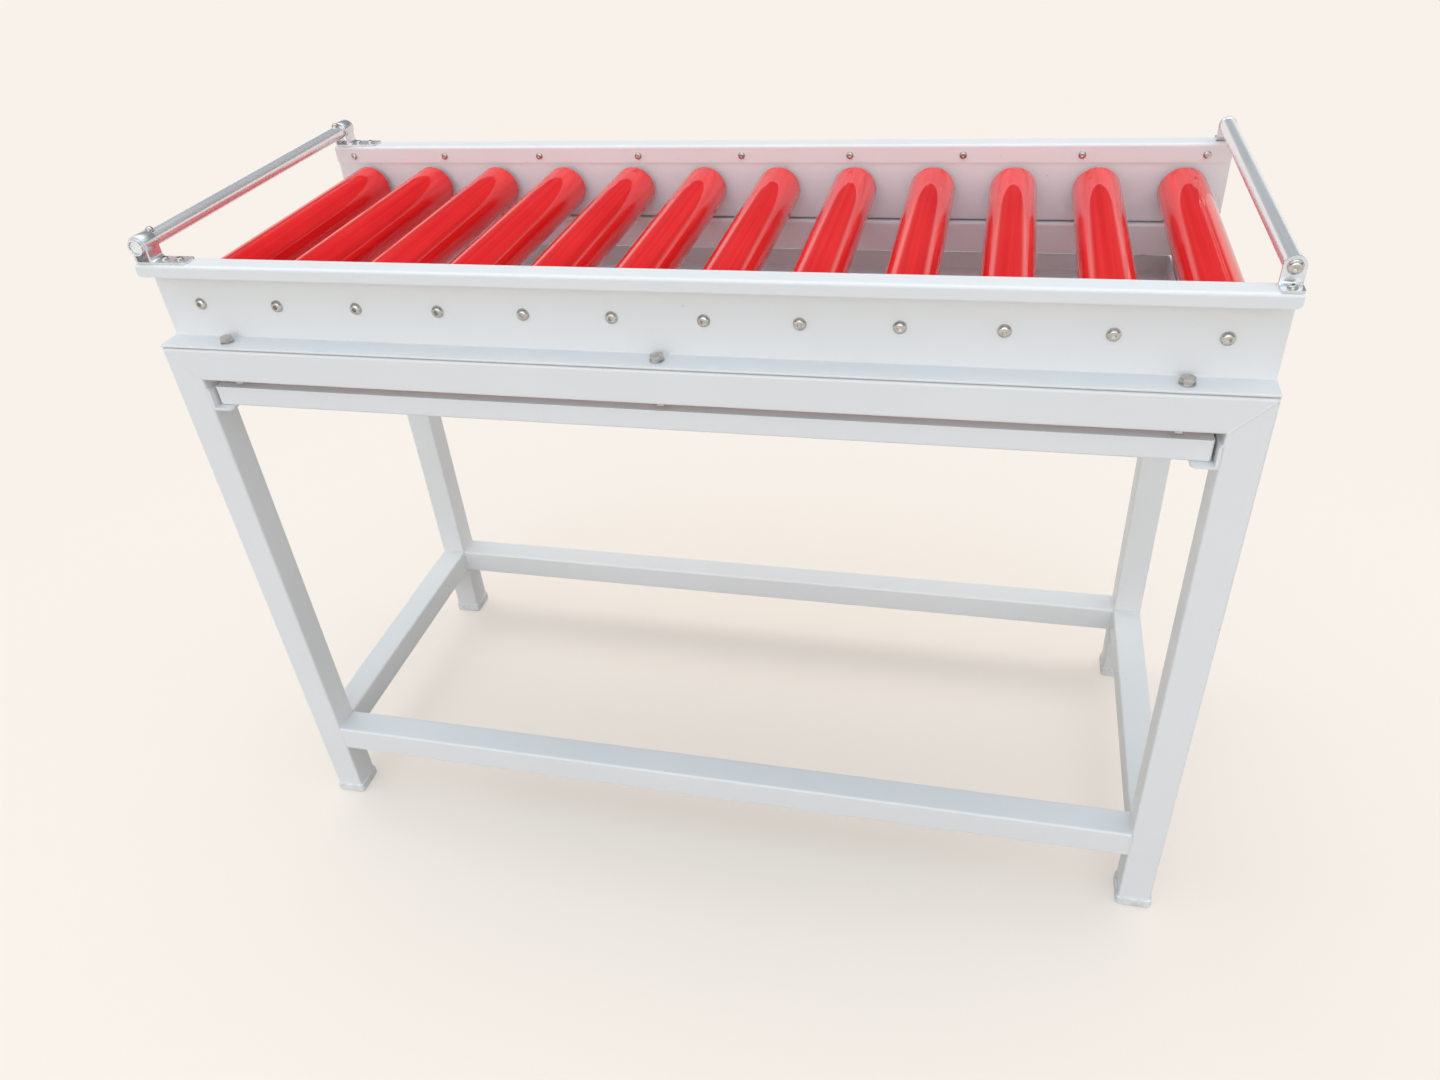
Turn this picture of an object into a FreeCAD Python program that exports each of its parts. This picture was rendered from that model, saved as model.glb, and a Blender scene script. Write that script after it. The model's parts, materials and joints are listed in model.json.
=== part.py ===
import FreeCAD, Part
import math
import os

# Gravity roller table on a square-tube stand, with a slide-in tray and a round bar over each end.
# Millimetres. X runs along the table, Y from front to rear, Z up; the floor is z = 0 and the
# middle of the table is x = y = 0.

# Stand of square tube
frame_length = 1200.0
frame_width = 486.0
frame_top = 760.0
tube_side = 40.0
tube_wall = 2.0
tube_corner = 3.0
tube_inner_corner = 1.0
stretcher_top = 138.0

# Moulded feet
foot_height = 15.0
foot_margin = 2.5
foot_corner = 5.5
foot_plug_depth = 25.0
foot_plug_clearance = 0.1
foot_bottom_round = 3.0
foot_rim_round = 1.5
foot_notch_radius = 6.0
foot_notch_depth = 2.5
foot_notch_offset = 9.2

# Side channels, as long as the stand
channel_sheet = 2.5
channel_bend_inside = 1.5
web_setback = 34.0
flange_edge_setback = 0.5
flange_edge_round = 0.8
flange_pad_diameter = 22.0
flange_pad_height = 1.4

# Top caps, as long as the stand
cap_rise = 98.0
cap_sheet = 2.0
cap_width = 27.0
cap_inner_leg = 22.5
cap_outer_lip = 14.0
cap_bend_inside = 1.5
cap_lip_corner = 5.0
cap_leg_corner = 3.0
cap_web_gap = 0.3

# Rollers
roller_count = 12
roller_end_margin = 50.0
roller_axis_rise = 44.0
roller_end_gap = 11.0
sleeve_wall = 4.0
sleeve_end_round = 1.5
roller_tube_diameter = 50.0
roller_tube_wall = 1.5
housing_width = 14.0
housing_recess = 2.0
bearing_diameter = 22.0
axle_diameter = 12.0

# End bars and their brackets
bar_diameter = 18.0
bar_wall = 1.5
left_bar_inset = 12.0
right_bar_inset = 10.0
right_bar_gap = 9.5
left_bar_gap = 11.5
left_bar_overhang = 5.0
bar_plug_length = 18.0
bar_plug_recess = 1.5
bar_plug_round = 1.5
bracket_sheet = 2.5
bracket_bend_inside = 2.5
right_bracket_margin = 1.0
right_bracket_foot = 15.0
right_bracket_toe = 2.5
right_upright_setback = 16.5
right_screw_reach = 7.5
left_bracket_width = 21.0
left_bracket_reach = 41.5
left_bracket_toe = 1.5
left_screw_reach = (9.6, 29.0)
loop_pinch_angle = 30.0
loop_flare = 4.5
loop_foot_bend = 1.0
loop_neck_round = 4.0
rivet_head_radius = 5.0
rivet_head_height = 4.5
rivet_shank = 4.0

# Tray and its runners
tray_sheet = 1.5
tray_front_setback = 8.0
tray_back_setback = 8.0
tray_height = 24.5
tray_front_rim = 13.0
tray_bolt_clearance = 3.5
tray_bend_inside = 1.5
tray_rim_round = 0.6
tray_side_clearance = 2.8
runner_leg = 25.0
runner_sheet = 3.0
runner_corner = 7.0

# Fasteners
axle_bolt = 8.0
axle_bolt_head = 14.0
axle_bolt_head_height = 4.4
axle_bolt_rim = 0.5
axle_bolt_socket = 5.0
axle_bolt_socket_depth = 2.6
axle_bolt_length = 22.0
small_screw = 5.0
small_screw_head = 9.5
small_screw_head_height = 2.75
small_screw_rim = 0.4
small_screw_socket = 3.0
small_screw_socket_depth = 1.6
cap_screw_count = 9
cap_screw_end_margin = 28.0
cap_screw_edge = 9.5
cap_screw_length = 6.0
bracket_screw_length = 8.0
flange_bolt = 8.0
flange_bolt_count = 3
flange_bolt_end_margin = 80.0
flange_bolt_across = 13.0
flange_bolt_head_height = 5.3
flange_bolt_chamfer = 0.5
flange_bolt_tail = 1.5
flange_nut_height = 6.5
washer_diameter = 16.0
washer_thickness = 1.6

# Fits, as radial clearances
running_fit = 0.05
seat_fit = 0.01
bolt_hole_fit = 0.25
bar_end_play = 0.25

# Places that follow from the sizes
half_length = frame_length / 2
half_width = frame_width / 2
inner_x = half_length - tube_side
inner_y = half_width - tube_side
frame_under = frame_top - tube_side
stretcher_under = stretcher_top - tube_side
web_inner_half = half_width - web_setback
web_outer_half = web_inner_half + channel_sheet
flange_edge = half_width - flange_edge_setback
flange_under = frame_top + flange_pad_height
flange_top = flange_under + channel_sheet
cap_top = frame_top + cap_rise
cap_under = cap_top - cap_sheet
cap_leg_end = cap_top - cap_inner_leg
cap_lip_end = cap_top - cap_outer_lip
cap_inner_half = web_inner_half - cap_sheet
cap_outer_half = cap_inner_half + cap_width
cap_lip_half = cap_outer_half - cap_sheet
cap_middle_half = (cap_inner_half + cap_outer_half) / 2
web_top = cap_under - cap_bend_inside - cap_web_gap
axle_z = frame_top + roller_axis_rise
roller_half = web_inner_half - roller_end_gap
roller_tube_radius = roller_tube_diameter / 2
roller_bore = roller_tube_radius - roller_tube_wall
sleeve_radius = roller_tube_radius + sleeve_wall
cap_screw_z = cap_leg_end + cap_screw_edge
flange_bolt_half = (web_outer_half + flange_edge) / 2
bar_radius = bar_diameter / 2
bar_bore = bar_radius - bar_wall
left_bar_x = left_bar_inset - half_length
right_bar_x = half_length - right_bar_inset
right_bar_z = cap_top + right_bar_gap + bar_radius
left_bar_z = cap_top + left_bar_gap + bar_radius
upright_outer_half = cap_outer_half - right_upright_setback
upright_inner_half = upright_outer_half - bracket_sheet
right_screw_half = upright_outer_half + right_screw_reach
loop_inside = bar_radius + running_fit
loop_outside = loop_inside + bracket_sheet
leg_inside = loop_inside * math.cos(math.radians(loop_pinch_angle))
leg_outside = leg_inside + bracket_sheet
strap_face_x = left_bar_x + leg_outside
strap_inner_half = cap_middle_half - left_bracket_width / 2
strap_outer_half = cap_middle_half + left_bracket_width / 2
left_bar_half = strap_outer_half + left_bar_overhang
tray_top = frame_under - flange_nut_height - flange_bolt_tail - tray_bolt_clearance
tray_bottom = tray_top - tray_height
tray_half = inner_x - runner_sheet - tray_side_clearance
tray_front = -half_width + tray_front_setback
tray_back = half_width - tray_back_setback
axle_bolt_hole = axle_bolt / 2 + bolt_hole_fit
small_screw_hole = small_screw / 2 + bolt_hole_fit
flange_bolt_hole = flange_bolt / 2 + bolt_hole_fit


def spread(count, end_margin):
    """Evenly spaced places along the table, the first and last a margin from its ends."""
    first = -half_length + end_margin
    step = (frame_length - 2 * end_margin) / (count - 1)
    return [first + i * step for i in range(count)]


roller_x = spread(roller_count, roller_end_margin)
cap_screw_x = spread(cap_screw_count, cap_screw_end_margin)
flange_bolt_x = spread(flange_bolt_count, flange_bolt_end_margin)
bracket_screw_places = [(strap_face_x + reach, cap_middle_half) for reach in left_screw_reach]
bracket_screw_places.append((right_bar_x, right_screw_half))

os.makedirs("parts", exist_ok=True)
UP = FreeCAD.Vector(0, 0, 1)
ALONG_X = FreeCAD.Vector(1, 0, 0)
ALONG_Y = FreeCAD.Vector(0, 1, 0)


def point(x, y, z):
    return FreeCAD.Vector(x, y, z)


def box(x0, x1, y0, y1, z0, z1):
    return Part.makeBox(x1 - x0, y1 - y0, z1 - z0, point(x0, y0, z0))


def rod(radius, start, axis, length):
    return Part.makeCylinder(radius, length, start, axis)


def ring(outer, inner, start, axis, length):
    return rod(outer, start, axis, length).cut(rod(inner, start, axis, length))


def prism(corners, direction):
    """A flat polygon pushed along a vector."""
    return Part.Face(Part.makePolygon(corners + corners[:1])).extrude(direction)


def mirror_y(shape):
    return shape.mirror(point(0, 0, 0), ALONG_Y)


def mirror_x(shape):
    return shape.mirror(point(0, 0, 0), ALONG_X)


def edges_where(shape, test):
    return [edge for edge in shape.Edges if test(edge.BoundBox)]


def near(value, target):
    return abs(value - target) < 0.01


def edges_along_x(shape, y, z):
    """The long edges of a folded strip that lie at one place in its section."""
    return edges_where(shape, lambda b: b.XLength > 1 and near(b.YMin, y) and near(b.YMax, y)
                       and near(b.ZMin, z) and near(b.ZMax, z))


def edges_along_y(shape, x, z):
    """The edges across a bent strap that lie at one place in its section."""
    return edges_where(shape, lambda b: b.YLength > 1 and near(b.XMin, x) and near(b.XMax, x)
                       and near(b.ZMin, z) and near(b.ZMax, z))


def rounded_bar(x0, x1, y0, y1, z0, z1, axis, radius):
    """A box with the four edges along one axis rounded."""
    body = box(x0, x1, y0, y1, z0, z1)
    spans = {"x": "XLength", "y": "YLength", "z": "ZLength"}
    across = [name for key, name in spans.items() if key != axis]
    edges = edges_where(body, lambda b: all(getattr(b, name) < 0.01 for name in across))
    return body.makeFillet(radius, edges)


def square_tube(x0, x1, y0, y1, z0, z1, axis):
    """A square tube that fills the given box and is open at both ends."""
    outer = rounded_bar(x0, x1, y0, y1, z0, z1, axis, tube_corner)
    inset = {"x": tube_wall, "y": tube_wall, "z": tube_wall}
    inset[axis] = 0.0
    bore = rounded_bar(x0 + inset["x"], x1 - inset["x"], y0 + inset["y"], y1 - inset["y"],
                       z0 + inset["z"], z1 - inset["z"], axis, tube_inner_corner)
    return outer.cut(bore)


def hexagon(across, start, height):
    """An upright hexagonal prism."""
    radius = across / 2 / math.cos(math.pi / 6)
    corners = []
    for i in range(6):
        angle = i * math.pi / 3
        corners.append(start + point(radius * math.cos(angle), radius * math.sin(angle), 0))
    return prism(corners, UP * height)


def button_screw(shank, head, height, rim, socket, socket_depth, length):
    """A button-head socket screw with its seat at the origin and its head up."""
    dome = rod(head / 2, point(0, 0, 0), UP, height)
    dome = dome.makeFillet(height - rim, edges_where(dome, lambda b: b.ZMin > height - 0.01))
    screw = dome.fuse(rod(shank / 2, point(0, 0, -length), UP, length))
    return screw.cut(hexagon(socket, point(0, 0, height - socket_depth), socket_depth))


def large_button(length):
    return button_screw(axle_bolt, axle_bolt_head, axle_bolt_head_height, axle_bolt_rim,
                        axle_bolt_socket, axle_bolt_socket_depth, length)


def small_button(length):
    return button_screw(small_screw, small_screw_head, small_screw_head_height, small_screw_rim,
                        small_screw_socket, small_screw_socket_depth, length)


def placed(shape, position, head_direction):
    """A copy of an upright fastener with its head turned to a direction."""
    copy = shape.copy()
    copy.Placement = FreeCAD.Placement(position, FreeCAD.Rotation(UP, head_direction))
    return copy


def save(name, shapes):
    solids = []
    for shape in shapes:
        solids.extend(shape.Solids)
    node = solids[0] if len(solids) == 1 else Part.makeCompound(solids)
    node.exportStep("parts/" + name + ".step")


def save_front_and_rear(name, shape):
    save(name + "_front", [shape])
    save(name + "_rear", [mirror_y(shape)])


def save_left_and_right(name, shape):
    save(name + "_left", [shape])
    save(name + "_right", [mirror_x(shape)])


def stand():
    """Legs, top rails and stretchers; the front and rear frames are mitred at their top corners."""
    outer_corner = point(-half_length, -half_width, frame_top)
    inner_corner = point(-inner_x, -half_width, frame_under)
    over_mitre = prism([outer_corner, inner_corner, point(-inner_x, -half_width, frame_top)],
                       ALONG_Y * tube_side)
    under_mitre = prism([outer_corner, inner_corner, point(-half_length, -half_width, frame_under)],
                        ALONG_Y * tube_side)

    leg = square_tube(-half_length, -inner_x, -half_width, -inner_y, foot_height, frame_top, "z")
    leg = leg.cut(over_mitre)
    save_left_and_right("leg_front", leg)
    save_left_and_right("leg_rear", mirror_y(leg))

    rail = square_tube(-half_length, half_length, -half_width, -inner_y, frame_under, frame_top, "x")
    rail = rail.cut(under_mitre).cut(mirror_x(under_mitre))
    for x in flange_bolt_x:
        rail = rail.cut(rod(flange_bolt_hole, point(x, -flange_bolt_half, frame_under), UP, tube_side))
    save_front_and_rear("top_rail", rail)

    end_rail = square_tube(-half_length, -inner_x, -inner_y, inner_y, frame_under, frame_top, "y")
    save_left_and_right("top_rail", end_rail)

    stretcher = square_tube(-inner_x, inner_x, -half_width, -inner_y, stretcher_under, stretcher_top, "x")
    save_front_and_rear("stretcher", stretcher)
    end_stretcher = square_tube(-half_length, -inner_x, -inner_y, inner_y,
                                stretcher_under, stretcher_top, "y")
    save_left_and_right("stretcher", end_stretcher)


def feet():
    """Four moulded feet, each with a plug inside its leg and a scalloped lower edge."""
    x0 = -half_length - foot_margin
    x1 = -inner_x + foot_margin
    y0 = -half_width - foot_margin
    y1 = -inner_y + foot_margin
    pad = rounded_bar(x0, x1, y0, y1, 0, foot_height, "z", foot_corner)
    pad = pad.makeFillet(foot_bottom_round, edges_where(pad, lambda b: b.ZMax < 0.01))
    pad = pad.makeFillet(foot_rim_round, edges_where(pad, lambda b: b.ZMin > foot_height - 0.01))
    middle = point((x0 + x1) / 2, (y0 + y1) / 2, foot_notch_depth - foot_notch_radius)
    for offset in (-foot_notch_offset, foot_notch_offset):
        pad = pad.cut(rod(foot_notch_radius, point(middle.x + offset, y0, middle.z), ALONG_Y, y1 - y0))
        pad = pad.cut(rod(foot_notch_radius, point(x0, middle.y + offset, middle.z), ALONG_X, x1 - x0))
    inset = tube_wall + foot_plug_clearance
    plug = rounded_bar(-half_length + inset, -inner_x - inset, -half_width + inset, -inner_y - inset,
                       foot_height, foot_height + foot_plug_depth, "z", tube_inner_corner)
    foot = pad.fuse(plug)
    save("feet", [foot, mirror_x(foot), mirror_y(foot), mirror_x(mirror_y(foot))])


def side_channels():
    """A web with an outward bottom flange, which stands on a pressed pad round each flange bolt."""
    section = [(-web_inner_half, web_top), (-web_inner_half, flange_under), (-flange_edge, flange_under),
               (-flange_edge, flange_top), (-web_outer_half, flange_top), (-web_outer_half, web_top)]
    channel = prism([point(-half_length, y, z) for y, z in section], ALONG_X * frame_length)
    channel = channel.makeFillet(channel_bend_inside + channel_sheet,
                                 edges_along_x(channel, -web_inner_half, flange_under))
    channel = channel.makeFillet(channel_bend_inside, edges_along_x(channel, -web_outer_half, flange_top))
    channel = channel.makeFillet(flange_edge_round, edges_along_x(channel, -flange_edge, flange_top)
                                 + edges_along_x(channel, -flange_edge, flange_under))
    for x in roller_x:
        channel = channel.cut(rod(axle_bolt_hole, point(x, -web_outer_half, axle_z), ALONG_Y, channel_sheet))
    for x in cap_screw_x:
        start = point(x, -web_outer_half, cap_screw_z)
        channel = channel.cut(rod(small_screw_hole, start, ALONG_Y, channel_sheet))
    for x in flange_bolt_x:
        start = point(x, -flange_bolt_half, frame_top)
        channel = channel.fuse(rod(flange_pad_diameter / 2, start, UP, flange_pad_height))
        channel = channel.cut(rod(flange_bolt_hole, start, UP, flange_top - frame_top))
    save_front_and_rear("side_channel", channel)


def top_caps():
    """A folded strip: a deep leg screwed to the inner face of the web, a flat top and an outer lip."""
    section = [(-cap_inner_half, cap_top), (-cap_inner_half, cap_leg_end), (-web_inner_half, cap_leg_end),
               (-web_inner_half, cap_under), (-cap_lip_half, cap_under), (-cap_lip_half, cap_lip_end),
               (-cap_outer_half, cap_lip_end), (-cap_outer_half, cap_top)]
    cap = prism([point(-half_length, y, z) for y, z in section], ALONG_X * frame_length)
    cap = cap.makeFillet(cap_bend_inside + cap_sheet, edges_along_x(cap, -cap_inner_half, cap_top)
                         + edges_along_x(cap, -cap_outer_half, cap_top))
    cap = cap.makeFillet(cap_bend_inside, edges_along_x(cap, -web_inner_half, cap_under)
                         + edges_along_x(cap, -cap_lip_half, cap_under))
    for end, radius in ((cap_lip_end, cap_lip_corner), (cap_leg_end, cap_leg_corner)):
        corners = edges_where(cap, lambda b: near(b.XLength, 0) and near(b.ZMin, end) and near(b.ZMax, end))
        cap = cap.makeFillet(radius, corners)
    for x in cap_screw_x:
        cap = cap.cut(rod(small_screw_hole, point(x, -web_inner_half, cap_screw_z), ALONG_Y, cap_sheet))
    for x, half in bracket_screw_places:
        cap = cap.cut(rod(small_screw_hole, point(x, -half, cap_under), UP, cap_sheet))
    save_front_and_rear("top_cap", cap)


def rollers():
    """Each roller is a sleeved tube with two bearing housings that turn on rings on a fixed axle."""
    start = point(0, -roller_half, 0)
    sleeve = ring(sleeve_radius, roller_tube_radius + seat_fit, start, ALONG_Y, 2 * roller_half)
    rims = edges_where(sleeve, lambda b: near(b.YLength, 0) and b.XLength > 2 * sleeve_radius - 0.1)
    sleeve = sleeve.makeFillet(sleeve_end_round, rims)
    tube = ring(roller_tube_radius, roller_bore, start, ALONG_Y, 2 * roller_half)
    start = point(0, housing_recess - roller_half, 0)
    housing = ring(roller_bore - seat_fit, bearing_diameter / 2 + running_fit, start, ALONG_Y, housing_width)
    inner_ring = ring(bearing_diameter / 2, axle_diameter / 2 + seat_fit, start, ALONG_Y, housing_width)
    start = point(0, -web_inner_half, 0)
    axle = rod(axle_diameter / 2, start, ALONG_Y, 2 * web_inner_half)
    tapped = rod(axle_bolt / 2 + seat_fit, start, ALONG_Y, axle_bolt_length)
    axle = axle.cut(tapped).cut(mirror_y(tapped))
    bolt = large_button(axle_bolt_length)
    axles = []
    rings = []
    bolts = []
    for i, x in enumerate(roller_x):
        move = point(x, 0, axle_z)
        name = "roller_%02d" % (i + 1)
        save(name + "_sleeve", [sleeve.translated(move)])
        save(name + "_tube", [piece.translated(move) for piece in (tube, housing, mirror_y(housing))])
        axles.append(axle.translated(move))
        rings.append(inner_ring.translated(move))
        rings.append(mirror_y(inner_ring).translated(move))
        bolts.append(placed(bolt, point(x, -web_outer_half, axle_z), -ALONG_Y))
        bolts.append(placed(bolt, point(x, web_outer_half, axle_z), ALONG_Y))
    save("roller_axles", axles)
    save("bearing_inner_rings", rings)
    save("axle_bolts", bolts)


def rail_fasteners():
    """The cap screws, and the hex bolts with washers and nuts that hold the channels to the stand."""
    screw = small_button(cap_screw_length)
    screws = []
    for x in cap_screw_x:
        screws.append(placed(screw, point(x, -cap_inner_half, cap_screw_z), ALONG_Y))
        screws.append(placed(screw, point(x, cap_inner_half, cap_screw_z), -ALONG_Y))
    save("cap_screws", screws)

    seat = flange_top + washer_thickness
    nut_under = frame_under - flange_nut_height
    tail = nut_under - flange_bolt_tail
    corner_radius = flange_bolt_across / 2 / math.cos(math.pi / 6)
    blank = rod(corner_radius, point(0, 0, 0), UP, flange_bolt_head_height)
    crown = edges_where(blank, lambda b: b.ZMin > flange_bolt_head_height - 0.01)
    blank = blank.makeChamfer(flange_bolt_chamfer, crown)
    head = hexagon(flange_bolt_across, point(0, 0, 0), flange_bolt_head_height).common(blank)
    bolts = []
    washers = []
    nuts = []
    for x in flange_bolt_x:
        for y in (-flange_bolt_half, flange_bolt_half):
            shank = rod(flange_bolt / 2, point(x, y, tail), UP, seat - tail)
            bolts.append(head.translated(point(x, y, seat)).fuse(shank))
            start = point(x, y, flange_top)
            washers.append(ring(washer_diameter / 2, flange_bolt_hole, start, UP, washer_thickness))
            start = point(x, y, nut_under)
            nut = hexagon(flange_bolt_across, start, flange_nut_height)
            nuts.append(nut.cut(rod(flange_bolt / 2 + seat_fit, start, UP, flange_nut_height)))
    save("flange_bolts", bolts)
    save("flange_washers", washers)
    save("flange_nuts", nuts)


def right_bracket():
    """A bent bracket whose upright has a round top about the bar's bolt."""
    crown = bar_radius + right_bracket_margin
    foot_end = upright_outer_half + right_bracket_foot
    foot_top = cap_top + bracket_sheet
    section = [(-upright_inner_half, cap_top), (-foot_end, cap_top), (-foot_end, foot_top),
               (-upright_outer_half, foot_top), (-upright_outer_half, right_bar_z),
               (-upright_inner_half, right_bar_z)]
    bracket = prism([point(right_bar_x - crown, y, z) for y, z in section], ALONG_X * (2 * crown))
    bracket = bracket.makeFillet(bracket_bend_inside + bracket_sheet,
                                 edges_along_x(bracket, -upright_inner_half, cap_top))
    bracket = bracket.makeFillet(bracket_bend_inside, edges_along_x(bracket, -upright_outer_half, foot_top))
    toes = edges_where(bracket, lambda b: near(b.YMax, -foot_end) and near(b.XLength, 0))
    bracket = bracket.makeFillet(right_bracket_toe, toes)
    eye = point(right_bar_x, -upright_outer_half, right_bar_z)
    bracket = bracket.fuse(rod(crown, eye, ALONG_Y, bracket_sheet)).removeSplitter()
    bracket = bracket.cut(rod(axle_bolt_hole, eye, ALONG_Y, bracket_sheet))
    seat = point(right_bar_x, -right_screw_half, cap_top)
    return bracket.cut(rod(small_screw_hole, seat, UP, bracket_sheet))


def left_bracket():
    """A strap that is screwed down flat, runs under the bar and loops over it on two pinched legs."""
    base_top = cap_top + bracket_sheet
    end_x = strap_face_x + left_bracket_reach
    left_x = left_bar_x - leg_outside
    front = -strap_outer_half
    rear = -strap_inner_half

    def loop(radius, leg_half, bottom):
        arch = rod(radius, point(left_bar_x, front, left_bar_z), ALONG_Y, left_bracket_width)
        return arch.fuse(box(left_bar_x - leg_half, left_bar_x + leg_half, front, rear, bottom, left_bar_z))

    strap = box(left_x, end_x, front, rear, cap_top, base_top)
    strap = strap.fuse(loop(loop_outside, leg_outside, cap_top))
    strap = strap.cut(loop(loop_inside, leg_inside, base_top)).removeSplitter()
    neck_z = left_bar_z - math.sqrt(loop_outside ** 2 - leg_outside ** 2)
    necks = edges_along_y(strap, left_x, neck_z) + edges_along_y(strap, strap_face_x, neck_z)
    strap = strap.makeFillet(loop_neck_round, necks)
    strap = strap.makeFillet(loop_flare, edges_along_y(strap, strap_face_x, base_top))
    strap = strap.makeFillet(loop_foot_bend + bracket_sheet, edges_along_y(strap, left_x, cap_top))
    strap = strap.makeFillet(loop_foot_bend, edges_along_y(strap, left_bar_x - leg_inside, base_top))
    toes = edges_where(strap, lambda b: near(b.XMin, end_x) and near(b.YLength, 0) and b.ZLength > 1)
    strap = strap.makeChamfer(left_bracket_toe, toes)
    for reach in left_screw_reach:
        start = point(strap_face_x + reach, -cap_middle_half, cap_top)
        strap = strap.cut(rod(small_screw_hole, start, UP, bracket_sheet))
    return strap


def brackets():
    """The four bar brackets, their base screws and the bolts that carry the right bar."""
    save_front_and_rear("bar_bracket_right", right_bracket())
    save_front_and_rear("bar_bracket_left", left_bracket())
    screw = small_button(bracket_screw_length)
    screws = []
    for x, half in bracket_screw_places:
        for y in (-half, half):
            screws.append(placed(screw, point(x, y, cap_top + bracket_sheet), UP))
    save("bracket_screws", screws)
    bolt = large_button(bracket_sheet + bar_end_play + bar_plug_length)
    save("bar_bolts", [placed(bolt, point(right_bar_x, -upright_outer_half, right_bar_z), -ALONG_Y),
                       placed(bolt, point(right_bar_x, upright_outer_half, right_bar_z), ALONG_Y)])


def end_bars():
    """The right bar turns on two bolts; the left bar turns in two loops, with a stop rivet inside each."""
    right_half = upright_inner_half - bar_end_play
    start = point(right_bar_x, -right_half, right_bar_z)
    tube = ring(bar_radius, bar_bore, start, ALONG_Y, 2 * right_half)
    plug = ring(bar_bore - seat_fit, axle_bolt / 2 + running_fit, start, ALONG_Y, bar_plug_length)
    save("end_bar_right", [tube, plug, mirror_y(plug)])

    start = point(left_bar_x, -left_bar_half, left_bar_z)
    tube = ring(bar_radius, bar_bore, start, ALONG_Y, 2 * left_bar_half)
    solid_bar = rod(bar_radius, start, ALONG_Y, 2 * left_bar_half)
    stop_half = strap_inner_half - rivet_head_radius - bar_end_play
    dome_radius = (rivet_head_radius ** 2 + rivet_head_height ** 2) / (2 * rivet_head_height)
    rivets = []
    for y in (-stop_half, stop_half):
        axis = point(left_bar_x, y, left_bar_z)
        tube = tube.cut(rod(rivet_shank / 2 + seat_fit, axis, UP, bar_diameter))
        dome = Part.makeSphere(dome_radius, axis + UP * (bar_radius + rivet_head_height - dome_radius))
        dome = dome.common(rod(rivet_head_radius, axis + UP * bar_radius, UP, rivet_head_height))
        saddle = rod(rivet_head_radius, axis, UP, bar_radius).cut(solid_bar)
        shank = rod(rivet_shank / 2, axis + UP * bar_bore, UP, bar_wall)
        rivets.append(dome.fuse(saddle).fuse(shank).removeSplitter())
    face = -left_bar_half + bar_plug_recess
    plug = rod(bar_bore - seat_fit, point(left_bar_x, face, left_bar_z), ALONG_Y, bar_plug_length)
    plug = plug.makeFillet(bar_plug_round, edges_where(plug, lambda b: near(b.YMax, face)))
    save("end_bar_left", [tube, plug, mirror_y(plug)])
    save("bar_stop_rivets", rivets)


def tray_and_runners():
    """A shallow open tray with a flat front rim, and the two angles inside the legs that carry it."""
    def bent_box(inset, top, radius):
        block = box(-tray_half + inset, tray_half - inset, tray_front + inset, tray_back - inset,
                    tray_bottom + inset, top)
        return block.makeFillet(radius, edges_where(block, lambda b: b.ZMin < top - 0.01))

    tray = bent_box(0, tray_top, tray_bend_inside + tray_sheet)
    tray = tray.cut(bent_box(tray_sheet, tray_top, tray_bend_inside))
    front_rim = box(-tray_half + tray_sheet, tray_half - tray_sheet, tray_front + tray_sheet,
                    tray_front + tray_front_rim, tray_top - tray_sheet, tray_top)
    tray = tray.fuse(front_rim).removeSplitter()
    rim = edges_where(tray, lambda b: b.ZMin > tray_top - 0.01)
    save("tray", [tray.makeFillet(tray_rim_round, rim)])

    under = tray_bottom - runner_sheet
    section = [(0, under), (runner_leg, under), (runner_leg, tray_bottom), (runner_sheet, tray_bottom),
               (runner_sheet, under + runner_leg), (0, under + runner_leg)]
    runner = prism([point(reach - inner_x, -half_width, z) for reach, z in section], ALONG_Y * frame_width)
    tips = edges_where(runner, lambda b: near(b.XMin, runner_leg - inner_x) and near(b.YLength, 0)
                       and b.ZLength > 1)
    runner = runner.makeFillet(runner_corner, tips)
    save_left_and_right("tray_runner", runner)


stand()
feet()
side_channels()
top_caps()
rollers()
rail_fasteners()
brackets()
end_bars()
tray_and_runners()
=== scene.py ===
import json
import math
import random

import bmesh
import bpy
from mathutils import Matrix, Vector


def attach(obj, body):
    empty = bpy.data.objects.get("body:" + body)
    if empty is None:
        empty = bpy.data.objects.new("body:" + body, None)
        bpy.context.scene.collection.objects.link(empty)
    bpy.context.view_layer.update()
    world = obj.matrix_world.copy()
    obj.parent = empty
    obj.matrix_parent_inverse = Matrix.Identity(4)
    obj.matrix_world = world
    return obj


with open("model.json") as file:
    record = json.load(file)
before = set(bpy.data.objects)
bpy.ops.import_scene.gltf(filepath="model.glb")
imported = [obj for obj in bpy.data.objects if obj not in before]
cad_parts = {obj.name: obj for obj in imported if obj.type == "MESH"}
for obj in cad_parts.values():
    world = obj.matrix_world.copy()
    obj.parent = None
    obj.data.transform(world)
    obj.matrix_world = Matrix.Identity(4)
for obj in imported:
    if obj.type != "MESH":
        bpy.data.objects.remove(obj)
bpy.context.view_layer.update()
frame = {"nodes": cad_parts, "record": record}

nodes = frame["nodes"]


def rgb(red, green, blue):
    return (red, green, blue, 1.0)


# Camera, fitted to the photographed view
lens_mm = 26.977
sensor_mm = 36.0
camera_place = (0.3377, -1.2028, 1.2684)
camera_turn_deg = (54.145, 4.101, 13.398)
camera_reach = 60.0

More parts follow.
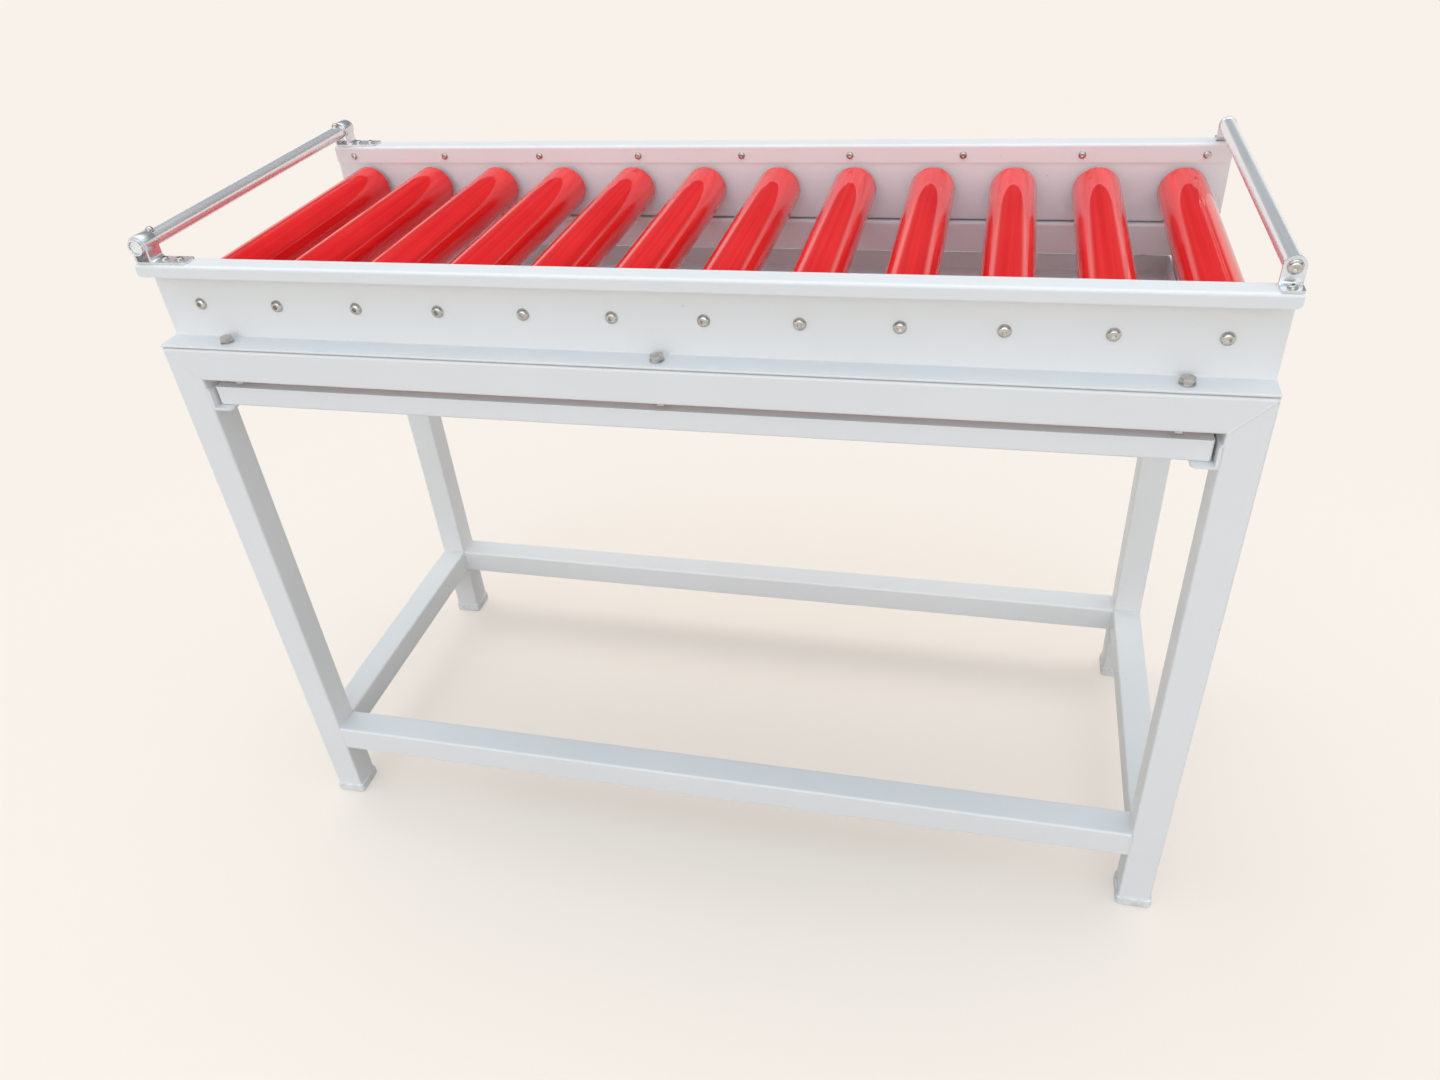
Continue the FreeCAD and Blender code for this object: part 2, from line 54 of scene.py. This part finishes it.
# Floor: its paint, the duller tone that it sends back as bounced light, and a glow
# whose share grows with the distance from the object
floor_half = 16.0
floor_paint = rgb(0.97, 0.86, 0.76)
floor_dim_paint = rgb(0.9506, 0.8428, 0.7448)
floor_bounce = rgb(0.42, 0.40, 0.38)
floor_roughness = 0.9
floor_cloud_scale = 0.9
floor_glow = rgb(0.940, 0.886, 0.828)
glow_start = 0.3
glow_end = 1.5
glow_near = 0.32
glow_far = 0.97
glow_stretch = (0.8, 1.0, 1.0)

# Sky: a pale horizon that gives way to a dim dome, with soft lobes of light that fade in
# above the horizon. Heights are sines of the elevation.
horizon_end = 0.14
dome_start = 0.25
dome_light = rgb(0.11, 0.115, 0.12)
lobe_start = 0.0
lobe_full = 0.16
sky_lobes = [
    # direction, inner and outer angle in degrees, strength, colour
    ((0.0, 0.30, 0.95), 10.0, 30.0, 1.75, rgb(1.0, 0.97, 0.95)),
    ((0.60, 0.10, 0.79), 10.0, 42.0, 1.03, rgb(0.89, 0.92, 0.91)),
    ((-0.60, 0.10, 0.79), 10.0, 42.0, 1.33, rgb(0.89, 0.92, 0.91)),
    ((0.0, -0.99, 0.10), 10.0, 38.0, 1.75, rgb(1.0, 0.97, 0.94)),
    ((0.0, -0.90, 0.43), 20.0, 60.0, 0.55, rgb(1.0, 0.97, 0.94)),
    ((0.0, -0.45, 0.89), 10.0, 40.0, 0.74, rgb(0.28, 0.64, 1.0)),
]

# Tones of the finishes, in linear light: each finish varies between its two
coat_tones = rgb(0.860, 0.864, 0.868), rgb(0.838, 0.843, 0.848)
dust_tone = rgb(0.36, 0.35, 0.34)
sleeve_tones = rgb(0.80, 0.011, 0.015), rgb(0.97, 0.030, 0.031)
bar_tones = rgb(0.80, 0.82, 0.84), rgb(0.92, 0.94, 0.96)
bracket_tones = rgb(0.80, 0.84, 0.88), rgb(0.70, 0.72, 0.73)
fastener_tones = rgb(0.62, 0.60, 0.57), rgb(0.44, 0.43, 0.41)
steel_tones = rgb(0.46, 0.46, 0.47), rgb(0.58, 0.58, 0.59)
foot_tones = rgb(0.84, 0.85, 0.865), rgb(0.70, 0.69, 0.67)

# Textures of the finishes
even = (1, 1, 1)
noise_roughness = 0.55
noise_range = (0.3, 0.7)
middle_range = (0.35, 0.65)
streak_share = 0.7
cloud_share = 0.3
streak_strength = 0.02
streak_depth = 0.0003
grain_depth = 0.0001

# Places on the stand, in metres
stand_x = 0.600
stand_y = 0.243
tube = 0.040
inner_x = stand_x - tube
inner_y = stand_y - tube
rail_top = 0.760
rail_under = rail_top - tube
stretcher_top = 0.138
stretcher_under = stretcher_top - tube
runner_top = 0.706
runner_under = 0.681

# Weld beads: half width and height of a fillet and of a ground seam, in metres,
# and how far they stop short of an edge
fillet = (0.0020, 0.0020)
ground = (0.0013, 0.0005)
weld_inset = 0.004
mitre_inset = 0.001
bead_step = 0.0011
bead_least_steps = 4
bead_sides = 8
bead_ripple = 0.0034
bead_swell = 0.10
bead_jitter = 0.05
bead_tip = 0.35
bead_tip_step = 0.30

# Edge rounding of the brackets and nuts: the start of a node's name, and the width in metres
edge_rounding = {"bar_bracket": 0.0005, "flange_nuts": 0.0004}
edge_join = 0.000005
edge_segments = 2
edge_angle_deg = 40


class Nodes:
    """A node tree, with short calls to add and join its nodes."""

    def __init__(self, tree):
        self.tree = tree

    def feed(self, node, socket, value):
        """Joins a socket to another node's output, or sets its value."""
        if isinstance(value, bpy.types.NodeSocket):
            self.tree.links.new(value, node.inputs[socket])
        else:
            node.inputs[socket].default_value = value

    def add(self, kind, inputs, output=0, **settings):
        """Adds a node and gives one of its outputs."""
        node = self.tree.nodes.new("ShaderNode" + kind)
        for name, value in settings.items():
            setattr(node, name, value)
        for socket, value in inputs.items():
            self.feed(node, socket, value)
        return node.outputs[output]

    def spread(self, value, low, high, to_low=0.0, to_high=1.0, **settings):
        """Maps a range of a value to another range, and holds it there."""
        inputs = {"Value": value, "From Min": low, "From Max": high,
                  "To Min": to_low, "To Max": to_high}
        return self.add("MapRange", inputs, clamp=True, **settings)

    def eased(self, value, low, high, to_high=1.0):
        """The same from zero up, with a soft start and end."""
        return self.spread(value, low, high, to_high=to_high, interpolation_type="SMOOTHSTEP")

    def math(self, operation, first, second):
        return self.add("Math", {0: first, 1: second}, operation=operation)

    def blend(self, amount, first, second):
        """A colour between two colours."""
        return self.add("Mix", {0: amount, 6: first, 7: second}, 2, data_type="RGBA")


class Finish(Nodes):
    """One material, built on the Principled shader."""

    def __init__(self, name):
        self.material = bpy.data.materials.new(name)
        self.material.use_nodes = True
        super().__init__(self.material.node_tree)
        self.shader = self.tree.nodes["Principled BSDF"]
        self.normal = None

    def surface(self, **values):
        """Sets the shader's own sockets; underscores stand for spaces."""
        for name, value in values.items():
            self.feed(self.shader, name.replace("_", " "), value)

    def place(self, stretch):
        """Coordinates on the object, in metres times a stretch."""
        spot = self.add("TexCoord", {}, "Object")
        return self.add("Mapping", {"Vector": spot, "Scale": stretch})

    def noise(self, scale, detail=3.0, stretch=even):
        inputs = {"Vector": self.place(stretch), "Scale": scale, "Detail": detail,
                  "Roughness": noise_roughness}
        return self.add("TexNoise", inputs, "Fac")

    def streaks(self, across, along, detail):
        """Noise drawn out along Y, with so many waves per metre across and along."""
        return self.noise(1.0, detail, (across, along, across))

    def cells(self, scale):
        inputs = {"Vector": self.place(even), "Scale": scale}
        return self.add("TexVoronoi", inputs, "Distance", feature="F1")

    def tone(self, streak, cloud, low, high):
        """Streaks with some cloud among them, drawn out to full contrast."""
        streak = self.math("MULTIPLY", streak, streak_share)
        cloud = self.math("MULTIPLY", cloud, cloud_share)
        return self.spread(self.math("ADD", streak, cloud), low, high)

    def rough(self, noise, smooth, dull):
        """A roughness that follows a noise."""
        return self.spread(noise, *noise_range, smooth, dull)

    def bump(self, height, strength, depth):
        """Adds a bump, its depth in metres, on top of the ones before it."""
        inputs = {"Height": height, "Strength": strength, "Distance": depth}
        if self.normal is not None:
            inputs["Normal"] = self.normal
        self.normal = self.add("Bump", inputs)
        self.surface(Normal=self.normal)


def powder_coat():
    """Satin white powder coat: orange peel, soft unevenness and a few dust specks."""
    coat = Finish("white_powder_coat")
    cloud = coat.spread(coat.noise(scale=4.0, detail=4.0), *middle_range)
    speck = coat.spread(coat.cells(scale=55.0), 0.035, 0.05, to_low=1.0, to_high=0.0)
    chosen = coat.spread(coat.noise(scale=9.0, detail=2.0), 0.60, 0.63, to_high=0.45)
    dusty = coat.math("MULTIPLY", speck, chosen)
    colour = coat.blend(dusty, coat.blend(cloud, *coat_tones), dust_tone)
    rough = coat.rough(coat.noise(scale=22.0), smooth=0.30, dull=0.42)
    coat.surface(Base_Color=colour, Roughness=rough, Specular_IOR_Level=0.28)
    coat.bump(coat.noise(scale=6.0, detail=1.0), strength=0.10, depth=0.0012)
    coat.bump(coat.noise(scale=850.0, detail=2.0), strength=0.10, depth=0.00015)
    return coat.material


def red_sleeve():
    """Glossy red sleeve with faint draw lines along its length and a soft unevenness."""
    sleeve = Finish("red_sleeve")
    streak = sleeve.streaks(across=120.0, along=1.6, detail=3.0)
    tone = sleeve.tone(streak, sleeve.noise(scale=7.0), low=0.36, high=0.62)
    scuff = sleeve.streaks(across=90.0, along=3.0, detail=4.0)
    rough = sleeve.rough(scuff, smooth=0.02, dull=0.05)
    sleeve.surface(Base_Color=sleeve.blend(tone, *sleeve_tones), Roughness=rough, IOR=1.5)
    sleeve.bump(streak, streak_strength, streak_depth)
    return sleeve.material


def zinc_bar():
    """Drawn galvanised tube: lengthwise streaks and cloudy zinc."""
    zinc = Finish("zinc_bar")
    streak = zinc.streaks(across=200.0, along=1.5, detail=2.0)
    cloud = zinc.noise(scale=14.0, detail=1.0, stretch=(1.0, 0.4, 1.0))
    tone = zinc.tone(streak, cloud, low=0.36, high=0.64)
    rough = zinc.rough(cloud, smooth=0.12, dull=0.20)
    zinc.surface(Base_Color=zinc.blend(tone, *bar_tones), Metallic=0.5, Roughness=rough)
    zinc.bump(streak, streak_strength, streak_depth)
    return zinc.material


def bright_zinc():
    """Bright plated bracket: bluish zinc with duller clouds and faint tool marks."""
    zinc = Finish("bright_zinc")
    cloud = zinc.spread(zinc.noise(scale=45.0, detail=1.0), 0.35, 0.68)
    marks = zinc.streaks(across=400.0, along=60.0, detail=2.0)
    rough = zinc.rough(marks, smooth=0.18, dull=0.28)
    zinc.surface(Base_Color=zinc.blend(cloud, *bracket_tones), Metallic=0.7, Roughness=rough)
    zinc.bump(cloud, streak_strength, streak_depth)
    return zinc.material


def grained(name, tones, patches, patch_range, roughness, grain, strength, **fixed):
    """A finish with patches of another tone and gloss, and a fine grain all over."""
    finish = Finish(name)
    skin = finish.spread(finish.noise(patches, detail=4.0), *patch_range)
    rough = finish.spread(skin, 0.0, 1.0, *roughness)
    finish.surface(Base_Color=finish.blend(skin, *tones), Roughness=rough, **fixed)
    finish.bump(finish.noise(grain, detail=2.0), strength, grain_depth)
    return finish.material


def fastener_steel():
    """Plain steel of the fasteners, with a duller skin in patches."""
    return grained("fastener_steel", fastener_tones, patches=180.0, patch_range=middle_range,
                   roughness=(0.14, 0.28), grain=1500.0, strength=0.10, Metallic=1.0)


def roller_steel():
    """Steel of the rollers' tubes, axles and rings, a little uneven in tone."""
    return grained("roller_steel", steel_tones, patches=120.0, patch_range=middle_range,
                   roughness=(0.24, 0.38), grain=900.0, strength=0.08, Metallic=1.0)


def foot_plastic():
    """Off-white moulded plastic, a little scuffed and dusty."""
    return grained("foot_plastic", foot_tones, patches=70.0, patch_range=(0.45, 0.70),
                   roughness=(0.42, 0.62), grain=900.0, strength=0.15)


def dress_nodes():
    """Gives every CAD node its finish, by the record's material slots."""
    finishes = {
        "white_powder_coat": powder_coat(),
        "red_sleeve": red_sleeve(),
        "roller_steel": roller_steel(),
        "fastener_steel": fastener_steel(),
        "foot_plastic": foot_plastic(),
    }
    bar = zinc_bar()
    bracket = bright_zinc()
    for part in frame["record"]["subparts"]:
        name = part["node"]
        slot = part["material_slot"]
        if slot == "zinc_plate":
            finish = bar if name.startswith("end_bar") else bracket
        else:
            finish = finishes[slot]
        mesh = nodes[name].data
        mesh.materials.clear()
        mesh.materials.append(finish)
    return finishes


def round_edges():
    """Joins the faces of the brackets and nuts, then rounds their sharp edges a little."""
    for name, node in nodes.items():
        for start, width in edge_rounding.items():
            if name.startswith(start):
                weld = node.modifiers.new("join", "WELD")
                weld.merge_threshold = edge_join
                bevel = node.modifiers.new("round", "BEVEL")
                bevel.width = width
                bevel.segments = edge_segments
                bevel.limit_method = "ANGLE"
                bevel.angle_limit = math.radians(edge_angle_deg)
                bevel.harden_normals = True


def bead(mesh, start, end, side, size, chance):
    """A weld bead along a line: a flattened, rippled rod that stands proud of the joint."""
    start = Vector(start)
    end = Vector(end)
    wide, high = size
    along = (end - start).normalized()
    out = Vector(side).normalized()
    across = along.cross(out)
    length = (end - start).length
    count = max(bead_least_steps, round(length / bead_step))
    shift = chance.random()
    rings = []
    for i in range(count + 1):
        reach = length * i / count
        ripple = bead_swell * math.sin(2 * math.pi * (reach / bead_ripple + shift))
        swell = 1 + ripple + chance.uniform(-bead_jitter, bead_jitter)
        taper = min(1.0, bead_tip + min(i, count - i) * bead_tip_step)
        ring = []
        for k in range(bead_sides):
            angle = 2 * math.pi * k / bead_sides
            offset = across * (wide * math.cos(angle)) + out * (high * math.sin(angle))
            ring.append(mesh.verts.new(start + along * reach + offset * (swell * taper)))
        rings.append(ring)
    for lower, upper in zip(rings, rings[1:]):
        for k in range(bead_sides):
            after = (k + 1) % bead_sides
            mesh.faces.new((lower[k], lower[after], upper[after], upper[k]))
    mesh.faces.new(list(reversed(rings[0])))
    mesh.faces.new(rings[-1])


def weld_piece(name, lines, finish):
    """One piece with all the beads of a kind of joint."""
    chance = random.Random(name)
    shape = bmesh.new()
    for start, end, side, size in lines:
        bead(shape, start, end, side, size, chance)
    bmesh.ops.recalc_face_normals(shape, faces=shape.faces)
    mesh = bpy.data.meshes.new(name)
    shape.to_mesh(mesh)
    shape.free()
    mesh.polygons.foreach_set("use_smooth", [True] * len(mesh.polygons))
    mesh.materials.append(finish)
    piece = bpy.data.objects.new(name, mesh)
    bpy.context.scene.collection.objects.link(piece)
    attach(piece, "stand")


def corner_welds():
    """The weld lines of the stand's corner at +X and +Y, by piece: ends, side and size."""
    x0, x1 = inner_x + weld_inset, stand_x - weld_inset
    y0, y1 = inner_y + weld_inset, stand_y - weld_inset
    mitres = [
        ((stand_x - mitre_inset, stand_y, rail_top - mitre_inset),
         (inner_x, stand_y, rail_under), (0, 1, 0), ground),
        ((inner_x, y0, rail_under), (inner_x, y1, rail_under), (-1, 0, -1), fillet),
    ]
    stretchers = []
    for z, up in ((stretcher_top, 1), (stretcher_under, -1)):
        stretchers += [
            ((inner_x, y0, z), (inner_x, y1, z), (-1, 0, up), fillet),
            ((x0, inner_y, z), (x1, inner_y, z), (0, -1, up), fillet),
        ]
    low, high = stretcher_under + weld_inset, stretcher_top - weld_inset
    stretchers += [
        ((inner_x, inner_y, low), (inner_x, inner_y, high), (-1, -1, 0), fillet),
        ((inner_x, stand_y, low), (inner_x, stand_y, high), (0, 1, 0), ground),
        ((stand_x, inner_y, low), (stand_x, inner_y, high), (1, 0, 0), ground),
    ]
    low, high = rail_under + weld_inset, rail_top - weld_inset
    end_rails = [
        ((inner_x, inner_y, low), (inner_x, inner_y, high), (-1, -1, 0), fillet),
        ((x0, inner_y, rail_under), (x1, inner_y, rail_under), (0, -1, -1), fillet),
        ((stand_x, inner_y, low), (stand_x, inner_y, high), (1, 0, 0), ground),
        ((x0, inner_y, rail_top), (x1, inner_y, rail_top), (0, 0, 1), ground),
    ]
    runners = [
        ((inner_x, y0, z), (inner_x, stand_y, z), (-1, 0, up), fillet)
        for z, up in ((runner_top, 1), (runner_under, -1))
    ]
    return {"mitre_welds": mitres, "stretcher_welds": stretchers,
            "end_rail_welds": end_rails, "runner_welds": runners}


def welds(finish):
    """Ground seams on the flush faces and small fillets in the corners of the stand."""
    for name, corner in corner_welds().items():
        lines = []
        for sx in (-1, 1):
            for sy in (-1, 1):
                for *spots, size in corner:
                    mirrored = [(sx * x, sy * y, z) for x, y, z in spots]
                    lines.append((*mirrored, size))
        weld_piece(name, lines, finish)


def floor():
    """A pale floor: it takes the shadow near the object, and fades to an even tone further off."""
    mesh = bpy.data.meshes.new("floor")
    corners = [(-floor_half, -floor_half, 0), (floor_half, -floor_half, 0),
               (floor_half, floor_half, 0), (-floor_half, floor_half, 0)]
    mesh.from_pydata(corners, [], [(0, 1, 2, 3)])
    plane = bpy.data.objects.new("floor", mesh)
    bpy.context.scene.collection.objects.link(plane)
    paint = Finish("floor")
    path = paint.tree.nodes.new("ShaderNodeLightPath")
    seen = paint.math("MAXIMUM", path.outputs["Is Camera Ray"], path.outputs["Is Glossy Ray"])
    seen = paint.math("MAXIMUM", seen, path.outputs["Is Transmission Ray"])
    cloud = paint.spread(paint.noise(floor_cloud_scale), *noise_range)
    pale = paint.blend(cloud, floor_paint, floor_dim_paint)
    colour = paint.blend(seen, floor_bounce, pale)
    paint.surface(Base_Color=colour, Roughness=floor_roughness)
    glow = paint.add("Emission", {"Color": floor_glow, "Strength": 1.0})
    place = paint.place(glow_stretch)
    distance = paint.add("VectorMath", {0: place}, "Value", operation="LENGTH")
    share = paint.spread(distance, glow_start, glow_end, glow_near, glow_far)
    amount = paint.math("MULTIPLY", share, seen)
    mixed = paint.add("MixShader", {0: amount, 1: paint.shader.outputs[0], 2: glow})
    paint.feed(paint.tree.nodes["Material Output"], "Surface", mixed)
    mesh.materials.append(paint.material)


def sky():
    """A pale horizon, a dim dome, and soft lobes of light above, beside and before the object."""
    world = bpy.data.worlds.new("soft_sky")
    world.use_nodes = True
    bpy.context.scene.world = world
    air = Nodes(world.node_tree)
    spot = air.add("TexCoord", {}, "Generated")
    height = air.add("SeparateXYZ", {0: spot}, "Z")
    rise = air.eased(height, horizon_end, dome_start)
    above = air.eased(height, lobe_start, lobe_full)
    dome = air.tree.nodes["Background"]
    air.feed(dome, "Color", air.blend(rise, floor_glow, dome_light))
    total = dome.outputs[0]
    for direction, inner, outer, strength, colour in sky_lobes:
        axis = Vector(direction).normalized()
        facing = air.add("VectorMath", {0: spot, 1: axis}, "Value", operation="DOT_PRODUCT")
        near = math.cos(math.radians(inner))
        far = math.cos(math.radians(outer))
        amount = air.math("MULTIPLY", air.eased(facing, far, near, strength), above)
        lobe = air.add("Background", {"Color": colour, "Strength": amount})
        total = air.add("AddShader", {0: total, 1: lobe})
    air.feed(air.tree.nodes["World Output"], "Surface", total)


def camera():
    """The camera at the photographed view."""
    lens = bpy.data.cameras.new("camera")
    lens.sensor_fit = "HORIZONTAL"
    lens.sensor_width = sensor_mm
    lens.lens = lens_mm
    lens.clip_end = camera_reach
    eye = bpy.data.objects.new("camera", lens)
    eye.location = camera_place
    eye.rotation_euler = [math.radians(turn) for turn in camera_turn_deg]
    bpy.context.scene.collection.objects.link(eye)
    bpy.context.scene.camera = eye


bpy.context.scene.view_settings.view_transform = "Standard"
camera()
finishes = dress_nodes()
round_edges()
welds(finishes["white_powder_coat"])
floor()
sky()
